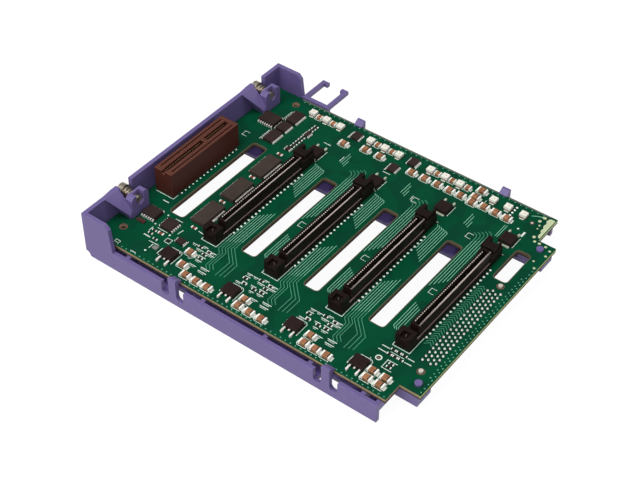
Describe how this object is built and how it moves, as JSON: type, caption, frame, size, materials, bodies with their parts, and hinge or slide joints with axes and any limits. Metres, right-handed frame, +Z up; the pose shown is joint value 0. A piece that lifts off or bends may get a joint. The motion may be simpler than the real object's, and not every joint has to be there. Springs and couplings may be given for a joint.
{
  "type": "drive backplane board",
  "caption": "Circuit board in a moulded carrier that joins a row of plug-in drives and an upright edge card to a server, with snap hooks, captive screws and hooked tabs",
  "frame": {"origin": "on the plane that the carrier rests on, under the front left corner of the circuit board", "axes": "+X along the row of sockets to the right, +Y to the back along each socket, +Z up out of the board"},
  "size_m": [0.1685, 0.1505, 0.0244],
  "materials": {
    "carrier": "moulded violet plastic with a fine grain",
    "board": "green solder mask over glass fibre laminate",
    "screw": "bright nickel plate",
    "edge_socket": "dark brown moulded plastic",
    "socket": "black moulded plastic",
    "link_connector": "pale moulded plastic",
    "contact": "gold flashed contact metal",
    "pin": "bright soldered pin",
    "lead": "tinned lead",
    "solder": "tinned metal end",
    "chip": "dark moulded package",
    "capacitor": "brown ceramic body",
    "light": "cream light body with a clear lens"
  },
  "bodies": {
    "root": {"capacitor_ends": "solder", "captive_screws": "screw", "carrier": "carrier", "ceramic_capacitors": "capacitor", "circuit_board": "board", "clock_chip_leads": "lead", "clock_chips": "chip", "control_chip_leads": "lead", "control_chips": "chip", "corner_chip_leads": "lead", "corner_chips": "chip", "drive_socket_1": "socket", "drive_socket_2": "socket", "drive_socket_3": "socket", "drive_socket_4": "socket", "drive_socket_contacts_1": "contact", "drive_socket_contacts_2": "contact", "drive_socket_contacts_3": "contact", "drive_socket_contacts_4": "contact", "driver_chip_1": "chip", "driver_chip_2": "chip", "driver_chip_3": "chip", "driver_chip_leads": "lead", "edge_socket": "edge_socket", "edge_socket_contacts": "contact", "end_regulator_leads": "solder", "end_regulators": "chip", "indicator_lights": "light", "link_connector": "link_connector", "link_connector_blades": "contact", "link_connector_pins": "pin", "rear_chip_leads": "lead", "rear_chips": "chip", "regulator_1": "chip", "regulator_2": "chip", "regulator_3": "chip", "regulator_4": "chip", "regulator_leads": "lead", "tiny_chip_leads": "lead", "tiny_chips": "chip"}
  },
  "joints": []
}
